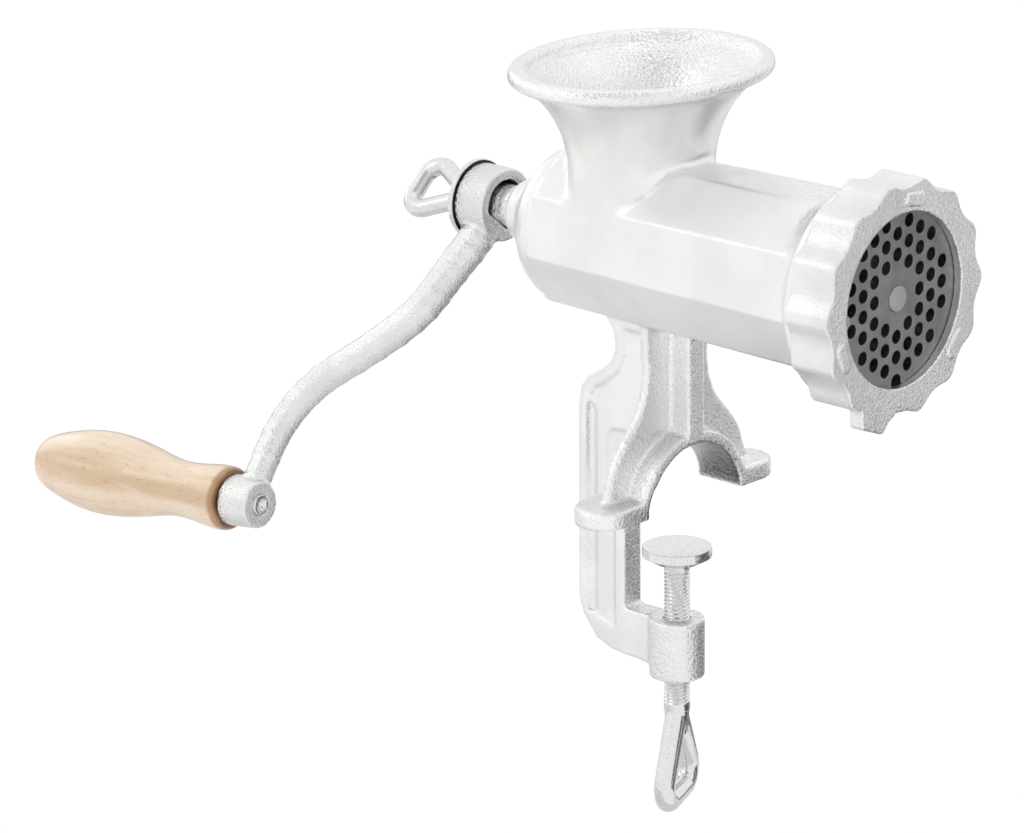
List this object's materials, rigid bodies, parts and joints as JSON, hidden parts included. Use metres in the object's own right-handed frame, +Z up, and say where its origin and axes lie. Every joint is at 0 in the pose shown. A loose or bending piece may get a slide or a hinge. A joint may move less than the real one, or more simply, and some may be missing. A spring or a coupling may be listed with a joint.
{
  "type": "manual meat grinder",
  "caption": "Hand-cranked meat grinder that clamps to a table edge, with oval hopper, faceted barrel, drilled plate under a scalloped ring nut, and S-bent crank with a turned wooden handle.",
  "frame": {"origin": "on the table-top plane the feet stand on, on the clamp screw's axis", "axes": "+X along the barrel towards the plate, +Z up, -Y is the side seen in the picture"},
  "size_m": [0.3508, 0.1602, 0.286],
  "materials": {
    "casting": "bright tinned, fine grain",
    "bright_steel": "polished",
    "tool_steel": "dark ground",
    "bronze": "plain",
    "nylon": "matt",
    "beech": "varnished"
  },
  "bodies": {
    "casting": {"body_casting": "casting", "rear_bush": "bronze", "thrust_washer": "nylon", "plate_key": "bright_steel"},
    "crank": {"feed_screw": "casting", "knife_stud": "bright_steel", "knife": "tool_steel", "crank_arm": "casting", "handle_pin": "bright_steel", "handle_washer": "bright_steel"},
    "handle": {"handle_grip": "beech"},
    "drilled_plate": {"plate": "tool_steel"},
    "ring": {"ring_nut": "casting"},
    "hub_washer": {"crank_washer": "bright_steel"},
    "thumb": {"thumb_screw": "bright_steel"},
    "clamp_foot": {"clamp_pad": "bright_steel"},
    "clamp_handle": {"clamp_screw": "bright_steel"}
  },
  "joints": [
    {"name": "crank_spin", "type": "hinge", "parent": "casting", "child": "crank", "pos_m": [0, 0, 0.097], "axis": [1, 0, 0], "continuous": true},
    {"name": "handle_spin", "type": "hinge", "parent": "crank", "child": "handle", "pos_m": [-0.1385, -0.08691, -0.01032], "axis": [-0.9981, -0.0384, -0.0474], "continuous": true},
    {"name": "plate_slide", "type": "slide", "parent": "casting", "child": "drilled_plate", "axis": [1, 0, 0], "range_m": [0, 0.012]},
    {"name": "ring_turn", "type": "hinge", "parent": "drilled_plate", "child": "ring", "pos_m": [0.1, 0, 0.097], "axis": [1, 0, 0], "range_deg": [0, 1440]},
    {"name": "washer_slide", "type": "slide", "parent": "crank", "child": "hub_washer", "axis": [-1, 0, 0], "range_m": [0, 0.00375]},
    {"name": "thumb_turn", "type": "hinge", "parent": "hub_washer", "child": "thumb", "pos_m": [-0.101, 0, 0.097], "axis": [-1, 0, 0], "range_deg": [0, 1080]},
    {"name": "pad_slide", "type": "slide", "parent": "casting", "child": "clamp_foot", "axis": [0, 0, -1], "range_m": [-0.009, 0.021]},
    {"name": "clamp_turn", "type": "hinge", "parent": "clamp_foot", "child": "clamp_handle", "pos_m": [0, 0, -0.03], "axis": [0, 0, -1], "range_deg": [-2160, 5040]}
  ],
  "couplings": [
    {"joint": "plate_slide", "follows": "ring_turn", "m_per_rad": 0.00047746},
    {"joint": "thumb_turn", "follows": "washer_slide", "rad_per_m": 5026.5},
    {"joint": "clamp_turn", "follows": "pad_slide", "rad_per_m": 4188.8}
  ]
}
